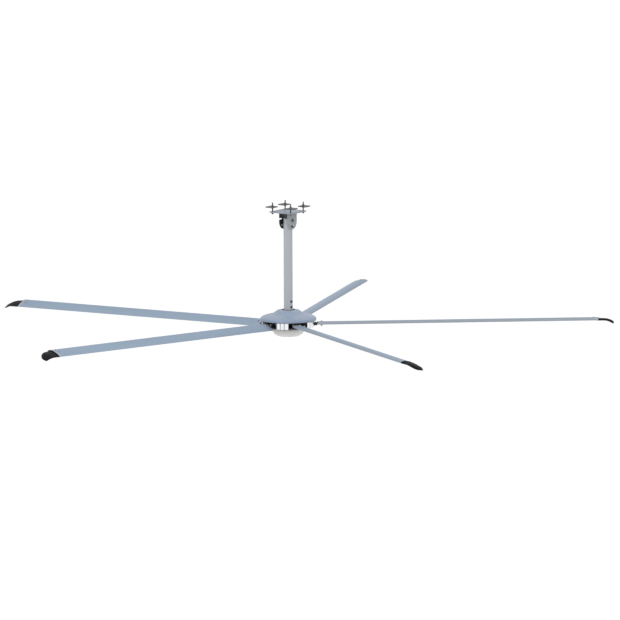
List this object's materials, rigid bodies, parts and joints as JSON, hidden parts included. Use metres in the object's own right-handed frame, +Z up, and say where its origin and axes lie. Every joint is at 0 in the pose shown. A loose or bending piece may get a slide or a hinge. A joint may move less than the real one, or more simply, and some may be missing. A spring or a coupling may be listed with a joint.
{
  "type": "high-volume low-speed ceiling fan",
  "caption": "Large slow ceiling fan: long hollow airfoil blades with turned-down black tips on a direct-drive hub, hung on a down tube from a beam clamp.",
  "frame": {"origin": "centre of the mount plate's top face, where the beam bears", "axes": "+Z up out of the mount plate's top face, along the rotor's axis at rest; +X along the clevis pivot bolt, towards its head; +Y completes the right-handed set"},
  "size_m": [5.6497, 5.785, 1.2571],
  "materials": {
    "mount_paint": "satin grey paint",
    "clevis_paint": "satin light grey paint",
    "dark_steel": "blackened steel",
    "clamp_steel": "dark grey phosphated steel",
    "zinc_steel": "bright zinc plate",
    "tube_paint": "satin grey paint",
    "black_paint": "black powder coat",
    "polished_metal": "polished and chromed",
    "blade_anodised": "blue-grey anodised",
    "winglet_plastic": "black moulded plastic",
    "cover_paint": "satin blue-grey paint",
    "dome_paint": "satin light grey paint",
    "trim_rubber": "black rubber",
    "core_steel": "laminated steel",
    "winding_copper": "enamelled copper wire",
    "bearing_steel": "ground bearing steel"
  },
  "bodies": {
    "mount": {"mount_plate": "mount_paint", "clevis_plate_1": "clevis_paint", "clevis_plate_2": "dark_steel", "threaded_rods": "clamp_steel", "clamp_plate_1": "clamp_steel", "clamp_plate_2": "clamp_steel", "clamp_plate_3": "clamp_steel", "clamp_plate_4": "clamp_steel", "rod_nuts": "clamp_steel", "rod_washers": "clamp_steel", "pivot_bolt": "clamp_steel", "pivot_nut": "clamp_steel"},
    "downrod": {"pivot_sleeve": "zinc_steel", "slot_bolt": "clamp_steel", "down_tube": "tube_paint", "tube_bolts": "dark_steel", "tube_nuts": "dark_steel", "motor_shaft": "core_steel", "shaft_nut": "core_steel", "stator_core": "core_steel", "stator_windings": "winding_copper", "bearing_inner_races": "bearing_steel"},
    "rotor": {"bearing_outer_races": "bearing_steel", "bearing_balls": "bearing_steel", "shaft_seal": "trim_rubber", "rotor_drum": "black_paint", "rotor_magnets": "core_steel", "end_cover": "dome_paint", "end_cover_screws": "zinc_steel", "hub_block_1": "polished_metal", "hub_block_2": "polished_metal", "hub_block_3": "polished_metal", "hub_block_4": "polished_metal", "hub_block_5": "polished_metal", "hub_top_plate": "black_paint", "block_bolts": "zinc_steel", "blade_strut_1": "black_paint", "blade_strut_2": "black_paint", "blade_strut_3": "black_paint", "blade_strut_4": "black_paint", "blade_strut_5": "black_paint", "strut_bolts": "zinc_steel", "blade_1": "blade_anodised", "blade_2": "blade_anodised", "blade_3": "blade_anodised", "blade_4": "blade_anodised", "blade_5": "blade_anodised", "blade_bolts": "zinc_steel", "blade_nuts": "zinc_steel", "winglet_1": "winglet_plastic", "winglet_2": "winglet_plastic", "winglet_3": "winglet_plastic", "winglet_4": "winglet_plastic", "winglet_5": "winglet_plastic", "winglet_screws": "dark_steel", "top_cover": "cover_paint", "cover_trim": "trim_rubber", "cover_screws": "zinc_steel", "bottom_dome": "dome_paint", "dome_screws": "zinc_steel"}
  },
  "joints": [
    {"name": "rod_tilt", "type": "hinge", "parent": "mount", "child": "downrod", "pos_m": [0, 0, -0.084], "axis": [1, 0, 0], "range_deg": [-34, 34]},
    {"name": "rotor_spin", "type": "hinge", "parent": "downrod", "child": "rotor", "pos_m": [0, 0, -1.064], "axis": [0, 0, 1], "continuous": true}
  ]
}
